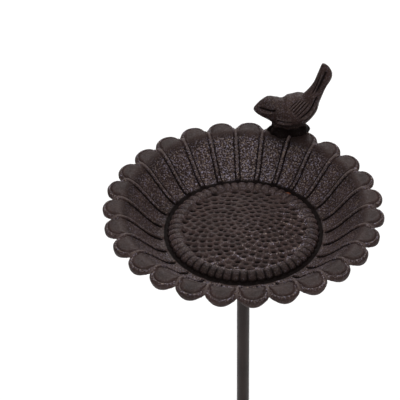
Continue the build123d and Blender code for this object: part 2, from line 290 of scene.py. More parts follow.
def seed_height(radius, bearing):
    """The seed field: dimples packed side by side in a low dome."""
    dome = SEED_TOP + (SEED_EDGE - SEED_TOP) * (radius / BORDER_IN) ** 2
    size = SEED_INNER_SHARE + SEED_GROWTH * radius / BORDER_IN
    bowl, node = seed_field(radius, bearing)
    return dome + size * (SEED_NODE * node - SEED_DEPTH * bowl)


def rib_valley(bearing):
    """How far a bearing lies in a valley between two ribs, and its place counted in ribs."""
    turns = (np.degrees(bearing) - PHASE) / 360 * RIBS
    for share, waves, phase in RIB_WANDER:
        turns = turns + share * np.sin(waves * bearing + phase)
    return np.abs(2 * (turns - np.floor(turns)) - 1) ** RIB_SHARPNESS, turns


def border_height(radius, bearing):
    """The raised border round the seeds, cut into ribs like a rope."""
    valley, turns = rib_valley(bearing)
    # a valley also notches the border's outer edge
    swell = radius + RIB_NOTCH * valley * ramp(radius, BORDER_CREST_R, RIB_NOTCH_REACH)
    inside = swell < BORDER_CREST_R
    width = np.where(inside, BORDER_CREST_R - BORDER_IN, BORDER_OUT - BORDER_CREST_R)
    across = (swell - BORDER_CREST_R) / width
    foot = np.where(inside, BORDER_FOOT, BORDER_EDGE)
    inner_side = 1 - across**2
    outer_side = np.sqrt(np.maximum(0.0, 1 - across**2))
    body = foot + (BORDER_CREST - foot) * np.where(inside, inner_side, outer_side)
    rib = np.round(turns)
    uneven = 1 + RIB_UNEVEN * np.sin(RIB_BEATS[0] * rib) * np.sin(RIB_BEATS[1] * rib)
    growth = RIB_GROWTH * ramp(radius, BORDER_IN, RIB_GROWTH_REACH)
    cut = RIB_DEPTH * uneven * (RIB_INNER_SHARE + growth)
    body -= cut * valley * ramp(radius, BORDER_IN, RIB_START)
    # the outermost dimples run up into its inner side
    body -= SEED_DEPTH * seed_field(radius, bearing)[0]
    # outside the border the surface falls into the groove
    fall = smoothstep((swell - BORDER_OUT + BORDER_FALL_IN) / BORDER_FALL)
    return body * (1 - fall) + GROOVE_BOTTOM * fall


# -------- mesh helpers
def add_object(name, data):
    thing = bpy.data.objects.new(name, data)
    bpy.context.scene.collection.objects.link(thing)
    return thing


def ring_at(radius, height, angles):
    """A ring's bearings, and its points round the pole's axis."""
    radius = np.broadcast_to(radius, angles.shape)
    height = np.broadcast_to(height, angles.shape)
    return angles, np.stack([radius * np.cos(angles), radius * np.sin(angles), height], axis=1)


def zipper(first_angles, second_angles, start_a, start_b):
    """Faces between two closed rings, which may have different numbers of points."""
    a, b = len(first_angles), len(second_angles)
    faces = []
    if a == b:
        for i in range(a):
            j = (i + 1) % a
            faces.append((start_a + i, start_a + j, start_b + j, start_b + i))
        return faces
    next_a = np.append(first_angles[1:], first_angles[0] + tau)
    next_b = np.append(second_angles[1:], second_angles[0] + tau)
    i = j = 0
    while i < a or j < b:
        if j >= b or (i < a and next_a[i] <= next_b[j] + 1e-9):
            faces.append((start_a + i, start_a + (i + 1) % a, start_b + j % b))
            i += 1
        else:
            faces.append((start_a + i % a, start_b + (j + 1) % b, start_b + j))
            j += 1
    return faces


def closed_rings(name, rings, first_point, last_point):
    """A closed mesh from rings of (bearings, points), with a point at each end."""
    points = [np.array([first_point])]
    faces = []
    start = 1
    count = len(rings[0][0])
    faces += [(0, start + i, start + (i + 1) % count) for i in range(count)]
    for index, (angles, ring) in enumerate(rings):
        points.append(ring)
        if index + 1 < len(rings):
            after = rings[index + 1]
            faces += zipper(angles, after[0], start, start + len(ring))
        start += len(ring)
    count = len(rings[-1][0])
    points.append(np.array([last_point]))
    faces += [(start, start - count + (i + 1) % count, start - count + i) for i in range(count)]
    return mesh_object(name, np.concatenate(points), faces)


def mesh_object(name, points, faces, sharp=50):
    """An object from points in millimetres, shaded smooth but for edges sharper than sharp."""
    mesh = bpy.data.meshes.new(name)
    mesh.from_pydata((np.asarray(points) * MM).tolist(), [], faces)
    work = bmesh.new()
    work.from_mesh(mesh)
    bmesh.ops.recalc_face_normals(work, faces=work.faces)
    work.to_mesh(mesh)
    work.free()
    mesh.polygons.foreach_set("use_smooth", [True] * len(mesh.polygons))
    mesh.set_sharp_from_angle(angle=radians(sharp))
    return add_object(name, mesh)


def vertex_arrays(mesh):
    points = np.empty(len(mesh.vertices) * 3, np.float32)
    mesh.vertices.foreach_get("co", points)
    normals = np.empty(len(mesh.vertices) * 3, np.float32)
    mesh.vertices.foreach_get("normal", normals)
    return points.reshape(-1, 3) / MM, normals.reshape(-1, 3)


def move_vertices(mesh, points):
    mesh.vertices.foreach_set("co", (points * MM).astype(np.float32).ravel())
    mesh.update()


def neighbour_mean(values, edges, count):
    """Each vertex's mean of values over its neighbours."""
    total = np.zeros((len(values),) + values.shape[1:])
    np.add.at(total, edges[:, 0], values[edges[:, 1]])
    np.add.at(total, edges[:, 1], values[edges[:, 0]])
    return total / (count if values.ndim == 1 else count[:, None])


def edge_array(mesh):
    edges = np.empty(len(mesh.edges) * 2, np.int32)
    mesh.edges.foreach_get("vertices", edges)
    edges = edges.reshape(-1, 2)
    count = np.bincount(edges.ravel(), minlength=len(mesh.vertices)).astype(float)
    return edges, np.maximum(count, 1)


def set_attribute(mesh, name, values):
    attribute = mesh.attributes.new(name, "FLOAT", "POINT")
    attribute.data.foreach_set("value", np.asarray(values, np.float32))


def mark_hollows(mesh, strength, extra=0.0):
    """Stores how far each vertex lies in a crevice, 1, or on a convex edge, 0, which the material
    draws as painted shade in crevices and as wear and painted highlight on edges.
    """
    points, normals = vertex_arrays(mesh)
    edges, count = edge_array(mesh)
    length = np.linalg.norm(points[edges[:, 0]] - points[edges[:, 1]], axis=1)
    squared = np.zeros(len(points))
    np.add.at(squared, edges[:, 0], length**2)
    np.add.at(squared, edges[:, 1], length**2)
    inward = neighbour_mean(points, edges, count) - points
    bend = (inward * normals).sum(axis=1) / (squared / count)
    for _ in range(2):
        bend = 0.5 * bend + 0.5 * neighbour_mean(bend, edges, count)
    set_attribute(mesh, "hollow", np.clip(0.5 + strength * bend + extra, 0, 1))


# -------- dish piece
# the seed field's rings, with fewer columns towards the middle: (from, to, columns, rings)
SEED_RINGS = (
    (0.5, 5.5, 2, 9),
    (5.9, 12.5, 4, 12),
    (13.0, 25.0, 10, 22),
    (25.6, BORDER_IN - 0.2, 20, 29),
)
GROOVE_FLOOR = ((55.7, 0.0), (56.3, 0.05), (56.9, 0.12))    # (radius, rise)
EDGE_INSETS = (2.95, 2.7, 2.4, 2.0, 1.6, 1.2, 0.85, 0.5, 0.22, 0.06, 0.0)
EDGE_TURNS = (25, 50, 70, 90)   # degrees down the lower half of the rounded edge
EDGE_TUCK = 0.75                # which comes in by this share of the upper half
UNDER_INSET = 2.6               # the rim's underside starts this far in
# (radius, height) under the dish: the base and its hollow, then round the boss into its bore
UNDERSIDE = (
    (57.0, UNDER_FOOT), (53.0, UNDER_FOOT), (HOLLOW_R + 1.2, UNDER_FOOT + 0.02),
    (HOLLOW_R + 0.3, UNDER_FOOT + 0.3), (HOLLOW_R - 0.6, UNDER_FOOT + 0.7),
    (42.0, -29.2), (34.0, -28.3), (25.0, -27.5),
)
BOSS = (
    (BOSS_R + 4.0, HOLLOW_TOP), (BOSS_R + 1.6, HOLLOW_TOP - 0.3), (BOSS_R + 0.6, -28.2),
    (BOSS_R + 0.15, -29.5), (BOSS_R, -31.5), (BOSS_R, -36.0), (BOSS_R - 0.05, -40.6),
    (BOSS_R - 0.3, -41.4), (BOSS_R - 0.9, BOSS_BOTTOM + 0.06), (BOSS_R - 1.6, BOSS_BOTTOM),
    (BORE_R + 1.0, BOSS_BOTTOM), (BORE_R + 0.25, BOSS_BOTTOM + 0.1),
    (BORE_R, BOSS_BOTTOM + 0.5), (BORE_R, -34.0), (BORE_R, BORE_TOP - 0.2),
    (BORE_R - 0.2, BORE_TOP),
)


def middle_rings():
    """The seed field, the ribbed border and the floor of the groove outside it."""
    rings = []
    for low, high, columns, count in SEED_RINGS:
        angles = bearings(columns, 0)
        for radius in np.linspace(low, high, count):
            spread = np.full(angles.shape, radius)
            rings.append(ring_at(radius, RIM + seed_height(spread, angles), angles))
    angles = bearings(AROUND, 0)
    over_ribs = np.linspace(BORDER_IN + 0.2, BORDER_OUT - 1.6, 14)
    outer_side = np.linspace(BORDER_OUT - 1.2, GROOVE_IN, 7)
    for radius in np.concatenate([over_ribs, outer_side]):
        spread = np.full(angles.shape, radius)
        rings.append(ring_at(radius, RIM + border_height(spread, angles), angles))
    for radius, lift in GROOVE_FLOOR:
        part = (radius - GROOVE_IN) / (WALL_FOOT_R - GROOVE_IN)
        rings.append(ring_at(radius, RIM + (GROOVE_BOTTOM + lift), bearings(AROUND, part)))
    return rings


def petal_rings():
    """The petals, up the wall, out over the rolled edge and down round it."""
    rings = []
    angles = bearings(AROUND, 1)
    inner_edge = outline(angles, FACET_MARGIN + 0.1)
    for part in np.concatenate([np.linspace(0, 0.82, 30), np.linspace(0.85, 1.0, 10)]):
        radius = WALL_FOOT_R + part * (inner_edge - WALL_FOOT_R)
        rings.append(ring_at(radius, RIM + petal_height(radius, angles), angles))
    for inset in EDGE_INSETS:
        radius = outline(angles, inset)
        rings.append(ring_at(radius, RIM + petal_height(radius, angles), angles))
    edge_height = petal_height(outline(angles), angles)
    for turn in EDGE_TURNS:
        radius = outline(angles, EDGE_ROUND * EDGE_TUCK * (1 - cos(radians(turn))))
        height = edge_height + (edge_bottom(angles) - edge_height) * sin(radians(turn))
        rings.append(ring_at(radius, RIM + height, angles))
    return rings


def under_rings():
    """Underneath: the rim, the smooth outside of the wall, the hollow and the boss."""
    rings = []
    angles = bearings(AROUND // 2, 1)
    outer = outline(angles, UNDER_INSET)
    rings.append(ring_at(outer, RIM + (edge_bottom(angles) - 0.1), angles))
    inner = 0.5 * (outer + UNDER_LIP_R)
    height = 0.5 * (edge_bottom(angles) + EDGE_BOTTOM) - 0.1
    rings.append(ring_at(inner, RIM + height, angles))
    angles = bearings(AROUND // 2, 0)
    for part in np.linspace(0, 1, 24):
        radius = UNDER_LIP_R + (UNDER_FOOT_R - UNDER_LIP_R) * part
        height = EDGE_BOTTOM + (UNDER_FOOT - EDGE_BOTTOM) * smoothstep(part)
        rings.append(ring_at(radius, RIM + height, angles))
    for profile, columns in ((UNDERSIDE, 8), (BOSS, 4)):
        angles = bearings(columns, 0)
        for radius, height in profile:
            rings.append(ring_at(radius, RIM + height, angles))
    return rings


# where the paint's bands lie: (start, how softly), (end, how softly)
WALL_BAND = ((57, 3), (82, 4))
BORDER_BAND = ((43, 2), (54, 1))

# how grainy the casting is, and how strongly its grain shows painted glints
GRAIN_PLAIN, GRAIN_UNDER = 0.12, 0.2
GRAIN_WALL, GRAIN_BORDER = 0.88, 0.2
WALL_GLINTS_AT_SIDES, WALL_GLINTS_FRONT_AND_BACK = 0.42, 0.95     # painted glints: the wall's grain glints more in front and behind
NET_GLINTS = 2.3                 # painted glints on the net between the seeds
GLINT_FROM, GLINT_REACH = 5, 30       # at the front and the right
LIP_GLINTS = 0.9                 # painted glints along the rolled edge
LIP_FROM_R, LIP_REACH, LIP_OUT, LIP_WIDTH = 86, 4, 1.6, 0.7

# how much darker than the plain paint its parts are drawn, mostly as painted shade, with some
# painted highlight
# painted shade in the dimples, and a faint painted highlight on the net's nodes
DIMPLE_SHADE, DIMPLE_POWER, NODE_HIGHLIGHT = 0.13, 1.5, 0.03
# painted shade in the groove round the border
GROOVE_SHADE, GROOVE_R, GROOVE_WIDTH = 0.55, 55.9, 1.2
GROOVE_REAR_OUT, GROOVE_REAR_WIDER, REAR_REACH = 0.9, 0.7, 40   # the painted shade looks wider at the back
# painted shade in the thin grooves beside the ridges and in the tips' creases
BEAD_LINE_SHADE, CREASE_SHADE = 0.3, 0.12
# painted shade, soft, beside each ridge on the wall
CHANNEL_SHADE, CHANNEL_AT, CHANNEL_WIDTH = 0.07, 1.2, 2.4
# the border is a little darker, with painted shade in the valleys between its ribs
DARK_BORDER, VALLEY_SHADE = 0.12, 0.08
FRONT_SHADE, FRONT_FROM, FRONT_REACH = 0.11, 20, 25              # painted shade on the border's front
FRONT_FROM_R, FRONT_FADE = 45, 4
SIDE_WALL_SHADE = 0.085              # painted shade on the wall's left and right
# painted shadow of the bird on the petals round and in front of its mound
BIRD_SHADOW, BIRD_SHADOW_REACH, BIRD_SHADOW_AHEAD = 0.16, 15, 4
DARK_FACE, FACE_FROM_R, FACE_BLEND, FACE_EDGE = 0.13, 79, 6, 1.2
# painted highlight along the ridges' crests
CREST_HIGHLIGHT, CREST_FROM_R, CREST_BLEND, CREST_HALF = 0.46, 62, 6, 0.8
DISH_HOLLOW_SHADE = 0.8              # how strongly painted shade darkens the mesh's own hollows


def band(radius, start, end):
    return ramp(radius, *start) * (1 - ramp(radius, *end))


def paint_dish(mesh, upper_points):
    """Stores how grainy each vertex is and how much it glints, and how much painted shade or
    painted highlight it takes.  The first upper_points are the top side.
    """
    points, _ = vertex_arrays(mesh)
    x, y = points[:, 0], points[:, 1]
    radius = np.hypot(x, y)
    bearing = np.arctan2(y, x)
    upper = np.arange(len(points)) < upper_points
    wall = band(radius, *WALL_BAND)
    border = band(radius, *BORDER_BAND)
    bowl, node = seed_field(radius, bearing)
    side, _, crease = petal_creases(radius, bearing)

    # painted glints in the grain, more at the wall's front and back than at its sides
    glints_by_bearing = WALL_GLINTS_AT_SIDES + WALL_GLINTS_FRONT_AND_BACK * np.sin(bearing) ** 2
    # painted glints on the net's nodes, towards the front and the right
    net_glint_share = smoothstep((x - y + GLINT_FROM) / GLINT_REACH)
    # painted glints along the rolled edge
    lip_glints = ramp(radius, LIP_FROM_R, LIP_REACH) * bell(crease, -LIP_OUT, LIP_WIDTH)
    grain_and_glints = GRAIN_PLAIN + GRAIN_WALL * glints_by_bearing * wall + GRAIN_BORDER * border
    grain_and_glints = grain_and_glints + NET_GLINTS * node * net_glint_share + LIP_GLINTS * lip_glints
    set_attribute(mesh, "grain_and_glints", np.where(upper, grain_and_glints, GRAIN_UNDER))

    # painted shade in the dimples and painted highlight on the net's nodes
    seeds = (DIMPLE_SHADE * bowl**DIMPLE_POWER - NODE_HIGHLIGHT * node) * upper
    # painted shade in the groove round the border
    rear = ramp(y, 0, REAR_REACH)
    groove_width = GROOVE_WIDTH + GROOVE_REAR_WIDER * rear
    groove = bell(radius - GROOVE_R, GROOVE_REAR_OUT * rear, groove_width) * upper
    # painted highlight along the ridges' crests
    crest = ramp(radius, CREST_FROM_R, CREST_BLEND) * upper
    crest *= bell(side, 0, CREST_HALF)
    face = ramp(radius, FACE_FROM_R, FACE_BLEND) * smoothstep(crease / FACE_EDGE) * upper
    beside, around = petal_lines(radius, bearing)
    # painted shade in the grooves beside the ridges, in the tips' creases and softly beside the
    # ridges
    lines = BEAD_LINE_SHADE * beside + CREASE_SHADE * around
    lines = lines + CHANNEL_SHADE * wall * bell(side, CHANNEL_AT, CHANNEL_WIDTH)
    lines = np.where((radius > WALL_FOOT_R) & upper, lines, 0.0)
    # painted shade in the ribs' valleys, and a slightly darker border
    ribs = border * (DARK_BORDER + VALLEY_SHADE * rib_valley(bearing)[0]) * upper
    # painted shade on the front of the border
    front = FRONT_SHADE * ramp(-y, FRONT_FROM, FRONT_REACH) * border
    front = front * ramp(radius, FRONT_FROM_R, FRONT_FADE) * upper
    # painted shade on the wall's left and right sides
    sides = SIDE_WALL_SHADE * wall * np.cos(bearing) ** 2 * upper
    # painted shadow of the bird on the petals in front of it
    gap = np.hypot(x - MOUND[0], y - MOUND[1] + BIRD_SHADOW_AHEAD)
    bird_shadow = BIRD_SHADOW * bell(gap, 0, BIRD_SHADOW_REACH)
    darker = bird_shadow + sides + front + seeds + GROOVE_SHADE * groove + lines + ribs
    darker = darker + DARK_FACE * face - CREST_HIGHLIGHT * crest
    mark_hollows(mesh, DISH_HOLLOW_SHADE, darker)


def build_dish():
    upper = middle_rings() + petal_rings()
    top = (0, 0, RIM + seed_height(np.array([0.0]), np.array([0.0]))[0])
    piece = closed_rings("dish_casting", upper + under_rings(), top, (0, 0, RIM + BORE_TOP))
    paint_dish(piece.data, 1 + sum(len(angles) for angles, _ in upper))
    return piece


# -------- bird piece
BIRD_Y = 86.5
# oval sections: (x, height over the rim, lean from upright in degrees, half height, half
# width), first from the beak to the rump, then from inside the rump to the tail's tip
BODY_SECTIONS = [
    (7.1, 20.6, 0, 0.9, 0.9),
    (8.8, 20.7, 0, 3.2, 2.6),
    (12.2, 21.3, 0, 6.3, 4.9),
    (17.5, 21.6, 0, 9.2, 7.8),
    (23.0, 19.4, 0, 10.6, 9.3),
    (28.6, 17.8, 0, 11.0, 11.1),
    (32.0, 18.9, 2, 12.1, 12.0),
    (37.0, 20.0, 7, 12.3, 12.2),
    (42.5, 21.5, 14, 12.5, 11.4),
    (48.6, 25.6, 30, 8.8, 8.0),
    (51.8, 29.6, 42, 5.3, 4.8),
]
TAIL_SECTIONS = [
    (45.6, 24.0, 58, 8.8, 7.6),
    (50.9, 33.0, 60, 6.3, 5.4),
    (55.1, 42.0, 63, 5.1, 3.5),
    (58.4, 50.0, 66, 5.6, 2.7),
    (59.4, 55.0, 68, 5.0, 2.2),
    (58.9, 59.2, 70, 3.2, 1.6),
    (57.8, 61.3, 71, 1.2, 0.8),
]
MOUND = (33.5, 88.0)            # middle of the mound under the bird
# the mound's levels: (height over the rim, half length, half width)
MOUND_LEVELS = [
    (-4.5, 14.6, 7.6), (-1.5, 15.2, 7.8), (0.8, 15.0, 7.6), (3.4, 13.8, 7.0), (6.0, 12.4, 6.8),
    (9.5, 11.9, 7.2), (14.0, 11.0, 7.6),
]
MOUND_RINGS = 20
MOUND_LUMPS = ((0.05, 5, 0.5), (0.04, 9, -0.3))     # (share, waves in a round, twist)
COLUMNS = 48                    # points in a ring of the bird or the mound
VOXEL = 0.45                    # the bird's parts are merged at this size


def smooth_path(points, count):
    """Points along a smooth curve through the given ones (Catmull-Rom)."""
    p = np.asarray(points, float)
    padded = np.vstack([2 * p[0] - p[1], p, 2 * p[-1] - p[-2]])
    t = np.linspace(0, len(p) - 1, count)
    i = np.minimum(t.astype(int), len(p) - 2)
    u = (t - i)[:, None]
    a, b, c, d = padded[i], padded[i + 1], padded[i + 2], padded[i + 3]
    return 0.5 * (
        2 * b + (c - a) * u + (2 * a - 5 * b + 4 * c - d) * u**2 + (3 * b - a - 3 * c + d) * u**3
    )


def loft_faces(rings):
    """Faces of a closed loft through rings of COLUMNS points, with a face at each end."""
    faces = []
    for i in range(rings - 1):
        low = i * COLUMNS
        high = low + COLUMNS
        for j in range(COLUMNS):
            k = (j + 1) % COLUMNS
            faces.append((low + j, low + k, high + k, high + j))
    faces.append(tuple(range(COLUMNS)))
    faces.append(tuple((rings - 1) * COLUMNS + j for j in range(COLUMNS)))
    return faces


def oval_loft(sections, count):
    """Points and faces of a closed loft through leaning oval sections."""
    angles = np.linspace(0, tau, COLUMNS, endpoint=False)
    points = []
    for x, height, lean, half_height, half_width in smooth_path(sections, count):
        up = np.array([-sin(radians(lean)), 0, cos(radians(lean))])
        centre = np.array([x, BIRD_Y, RIM + height])
        ring = centre + np.outer(half_height * np.sin(angles), up)
        ring[:, 1] += half_width * np.cos(angles)
        points.append(ring)
    return np.concatenate(points), loft_faces(count)


def mound():
    """The lump under the bird, from the rim's surface up into its belly."""
    angles = np.linspace(0, tau, COLUMNS, endpoint=False)
    points = []
    for height, half_length, half_width in smooth_path(MOUND_LEVELS, MOUND_RINGS):
        lump = 1
        for share, waves, twist in MOUND_LUMPS:
            lump = lump + share * np.sin(waves * angles + twist * height)
        x = MOUND[0] + half_length * lump * np.cos(angles)
        y = MOUND[1] + half_width * lump * np.sin(angles)
        points.append(np.stack([x, y, np.full(COLUMNS, RIM + height)], axis=1))
    return np.concatenate(points), loft_faces(MOUND_RINGS)


# carved lines on the bird's sides: (depth, half width, points), where a point is (x, height)
# as the line is seen from the front and 39 degrees above; a raised line has negative depth
SIGHT_SLOPE = 0.8125            # about the tangent of those 39 degrees
CARVING = [
    (1.8, 0.9, [(9.3, 21.4), (13.0, 20.2), (17.0, 18.5), (21.0, 17.4), (24.4, 18.4)]),
    (-1.0, 0.8, [(11.2, 18.2), (14.5, 16.8), (18.5, 15.5), (21.8, 16.4)]),
    (0.5, 1.1, [(28.6, 31.0), (27.2, 27.0), (26.8, 23.0), (27.0, 18.6)]),
    (0.7, 0.45, [(32.4, 18.4), (36.0, 23.6), (40.2, 28.4)]),
    (0.85, 0.45, [(33.6, 16.6), (38.0, 22.8), (42.6, 28.6)]),
    (0.95, 0.45, [(35.0, 14.8), (40.0, 21.6), (44.8, 28.2)]),
    (0.95, 0.45, [(36.2, 12.6), (41.8, 20.0), (46.9, 27.6)]),
    (1.0, 0.5, [(37.6, 10.6), (43.6, 17.8), (48.6, 25.8)]),
    (1.8, 0.85, [(39.4, 8.4), (45.2, 13.8), (49.4, 19.7), (52.3, 27.0), (54.4, 33.0)]),
    (-0.8, 0.6, [(41.0, 7.4), (46.8, 12.6), (50.6, 18.4), (53.4, 25.6)]),
    (1.1, 0.6, [(42.6, 7.0), (48.2, 12.4), (51.8, 18.2), (54.6, 25.4)]),
    (1.4, 1.9, [(51.4, 32.0), (54.2, 39.0), (57.0, 46.0), (59.0, 52.0), (59.4, 55.0)]),
    (0.8, 0.45, [(48.8, 31.6), (51.8, 39.4), (54.4, 47.6), (56.4, 55.5)]),
    (-0.6, 0.45, [(49.8, 31.0), (52.8, 38.8), (55.4, 46.8), (57.4, 54.5)]),
    (-0.7, 0.5, [(55.6, 30.6), (58.4, 38.0), (61.2, 45.0), (62.6, 50.0)]),
    (-0.9, 0.6, [(22.7, 11.4), (29.3, 9.0), (36.8, 8.3)]),
    (1.2, 0.7, [(22.9, 9.4), (29.3, 7.4), (36.8, 6.8)]),
    (-0.8, 0.6, [(23.4, 7.2), (29.3, 5.7), (36.8, 5.2)]),
]
EYE = (17.0, 24.4)
EYE_RISE, EYE_R = 0.2, 0.9      # a low round eye,
SOCKET_DEPTH, SOCKET_R, SOCKET_WIDTH = 0.3, 1.6, 0.45   # in a shallow ring
CARVE_FROM, CARVE_BLEND = 0.8, 2.0      # the lines fade out at the bird's middle plane
CARVE_DEEPEST = 1.5             # deeper lines are no darker than this
LINE_TAPER = 0.2                # share of a line's length that each end tapers over
SMOOTHING = (0.5, -0.52)        # each vertex moves in and back by these shares
SMOOTHING_ROUNDS = 16

BIRD_GRAIN = 0.26
BIRD_HOLLOW_SHADE = 0.6              # how strongly painted shade darkens the mesh's own hollows
# painted shade in the carved lines
CARVING_SHADE = 0.17
MOUND_PAINTED_SHADE, MOUND_SHADE_TOP, MOUND_SHADE_REACH = 0.36, 7.6, 3.0     # painted shade on the mound and the belly's bottom
BIRD_LIGHTER = 0.02


def line_distance(x, y, line):
    """Distance of points to a curve through the line's points, with its ends tapering."""
    path = smooth_path(line, 24)
    nearest = np.full(len(x), 1e9)
    along = np.zeros(len(x))
    for i in range(len(path) - 1):
        a, b = path[i], path[i + 1]
        span = b - a
        t = np.clip(((x - a[0]) * span[0] + (y - a[1]) * span[1]) / (span @ span), 0, 1)
        gap = np.hypot(x - a[0] - t * span[0], y - a[1] - t * span[1])
        closer = gap < nearest
        nearest = np.where(closer, gap, nearest)
        along = np.where(closer, (i + t) / (len(path) - 1), along)
    taper = smoothstep(along / LINE_TAPER) * smoothstep((1 - along) / LINE_TAPER)
    return nearest, taper


def carve_bird(mesh):
    """Carves the lines and the eyes, and gives back how deep each vertex went."""
    points, normals = vertex_arrays(mesh)
    aside = np.abs(points[:, 1] - BIRD_Y)
    x = points[:, 0]
    seen = points[:, 2] - RIM - SIGHT_SLOPE * aside
    shift = np.zeros(len(points))
    for depth, half_width, line in CARVING:
        gap, taper = line_distance(x, seen, line)
        shift -= depth * bell(gap, 0, half_width) * taper
    eye = np.hypot(x - EYE[0], seen - EYE[1])
    shift += EYE_RISE * bell(eye, 0, EYE_R) - SOCKET_DEPTH * bell(eye, SOCKET_R, SOCKET_WIDTH)
    shift *= ramp(aside, CARVE_FROM, CARVE_BLEND)
    move_vertices(mesh, points + normals * shift[:, None])
    return np.clip(-shift, 0, CARVE_DEEPEST)


def settle(mesh, rounds):
    """Smooths a mesh by moving each vertex towards its neighbours and back."""
    points, _ = vertex_arrays(mesh)
    edges, count = edge_array(mesh)
    for _ in range(rounds):
        for share in SMOOTHING:
            points = points + share * (neighbour_mean(points, edges, count) - points)
    move_vertices(mesh, points)


def build_bird():
    points, faces = [], []
    for part_points, part_faces in (
        oval_loft(BODY_SECTIONS, 70),
        oval_loft(TAIL_SECTIONS, 50),
        mound(),
    ):
        start = sum(len(p) for p in points)
        faces += [tuple(start + v for v in face) for face in part_faces]
        points.append(part_points)
    rough = mesh_object("bird_rough", np.concatenate(points), faces)
    remesh = rough.modifiers.new("skin", "REMESH")
    remesh.mode = "VOXEL"
    remesh.voxel_size = VOXEL * MM
    graph = bpy.context.evaluated_depsgraph_get()
    mesh = bpy.data.meshes.new_from_object(rough.evaluated_get(graph), depsgraph=graph)
    bpy.data.objects.remove(rough)
    settle(mesh, SMOOTHING_ROUNDS)
    carved = carve_bird(mesh)
    mesh.polygons.foreach_set("use_smooth", [True] * len(mesh.polygons))
    piece = add_object("bird_casting", mesh)
    set_attribute(mesh, "grain_and_glints", np.full(len(mesh.vertices), BIRD_GRAIN))
    points, _ = vertex_arrays(mesh)
    # painted shade on the mound and the belly's bottom
    shade = smoothstep((MOUND_SHADE_TOP - (points[:, 2] - RIM)) / MOUND_SHADE_REACH)
    mark_hollows(mesh, BIRD_HOLLOW_SHADE, CARVING_SHADE * carved + MOUND_PAINTED_SHADE * shade - BIRD_LIGHTER)
    return piece


# -------- pole and foot pieces
THREAD_PITCH = 1.25
THREAD_ROOT, THREAD_CREST = 3.4, 4.0
THREAD_STEPS = 9                # mesh rings in one turn of the thread
THREAD_BELOW_NUT = 1.85         # the thread runs on this far under the nut
STUD_BORE_R, STUD_BORE_DEPTH = 2.55, 12.95
ROD_RINGS = 60
ROD_COLUMNS = 40

WELD_OUT = 0.55                 # the bead's middle lies this far out of the corner
WELD_R = 1.45
WELD_RIPPLE, WELD_RIPPLES = 0.16, 15
WELD_UNEVEN, WELD_WAVES, WELD_PHASE = 0.12, 4, 1.0
WELD_COLUMNS, WELD_SIDES = 120, 16

PAD_TOP = -3.6                  # the pad's top is sunk into the rim's underside
PAD_R, PAD_BORE_R = 5.8, 2.25


def lathe(name, profile, columns=48):
    """A closed turned piece from (radius, height) points, whose first and last lie on the axis."""
    angles = np.linspace(0, tau, columns, endpoint=False)
    rings = [ring_at(radius, height, angles) for radius, height in profile[1:-1]]
    return closed_rings(name, rings, (0, 0, profile[0][1]), (0, 0, profile[-1][1]))


def build_upper_rod():
    """The bar with its cut thread, which the nut locks and the dish is screwed on."""
    angles = np.linspace(0, tau, ROD_COLUMNS, endpoint=False)
    bottom = ROD_LOW.z / MM
    top = ROD_HIGH.z / MM
    shoulder = NUT_LOW.z / MM - THREAD_BELOW_NUT
    # the bore for the stud, the bottom face and its chamfer
    profile = [
        (STUD_BORE_R, bottom + 12.9), (STUD_BORE_R, bottom + 6.0), (STUD_BORE_R, bottom + 0.2),
        (STUD_BORE_R + 0.2, bottom), (ROD_R - 0.42, bottom), (ROD_R - 0.12, bottom + 0.14),
        (ROD_R, bottom + 0.45),
    ]
    # drawn bar is never quite straight or round
    for height in np.linspace(bottom + 1.5, shoulder - 0.8, ROD_RINGS):
        sway = 0.012 * np.sin(height / 23.0) + 0.008 * np.sin(height / 7.1 + 2 * angles)
        profile.append((ROD_R - 0.02 + sway, height))
    profile += [(ROD_R, shoulder - 0.3), (ROD_R - 0.25, shoulder)]
    turns = (top - shoulder) / THREAD_PITCH
    for height in np.linspace(shoulder + 0.1, top - 0.15, int(turns * THREAD_STEPS)):
        phase = (height / THREAD_PITCH - angles / tau) % 1
        tooth = np.clip(1.2 - 2.4 * np.abs(phase - 0.5), 0, 1)
        ends = min(1.0, (height - shoulder) / 1.2, (top - height) / 1.0)
        profile.append((THREAD_ROOT + (THREAD_CREST - THREAD_ROOT) * tooth * ends, height))
    profile.append((THREAD_ROOT - 0.2, top))
    rings = [ring_at(radius, height, angles) for radius, height in profile]
    bore_end = (0, 0, bottom + STUD_BORE_DEPTH)
    return closed_rings("upper_rod_threaded", rings, bore_end, (0, 0, top))


def build_weld():
    """A fillet weld round the foot's arm, with the ripples of a hand-laid bead."""
    centre = (WELD_LOW + WELD_HIGH) / 2 / MM
    direction = Vector((centre.x, centre.y)).normalized()
    along = Vector((direction.x, direction.y, 0))
    across = Vector((-direction.y, direction.x, 0))
    bead_r = FOOT_R + WELD_OUT
    points, faces = [], []
    for i in range(WELD_COLUMNS):
        t = tau * i / WELD_COLUMNS
        y = bead_r * cos(t)
        z = bead_r * sin(t)
        x = sqrt(max(ROD_R**2 - y**2, 0.0)) + WELD_OUT
        ripple = WELD_RIPPLE * cos(WELD_RIPPLES * t)
        thickness = WELD_R + ripple + WELD_UNEVEN * sin(WELD_WAVES * t + WELD_PHASE)
        hub = along * x + across * y + Vector((0, 0, FOOT_R + z))
        outward = (across * cos(t) + Vector((0, 0, sin(t)))).normalized()
        for j in range(WELD_SIDES):
            a = tau * j / WELD_SIDES
            points.append(hub + outward * thickness * cos(a) + along * thickness * sin(a))
    for i in range(WELD_COLUMNS):
        here = i * WELD_SIDES
        after = (i + 1) % WELD_COLUMNS * WELD_SIDES
        for j in range(WELD_SIDES):
            m = (j + 1) % WELD_SIDES
            faces.append((here + j, after + j, after + m, here + m))
    return mesh_object("weld_bead", [tuple(p) for p in points], faces)


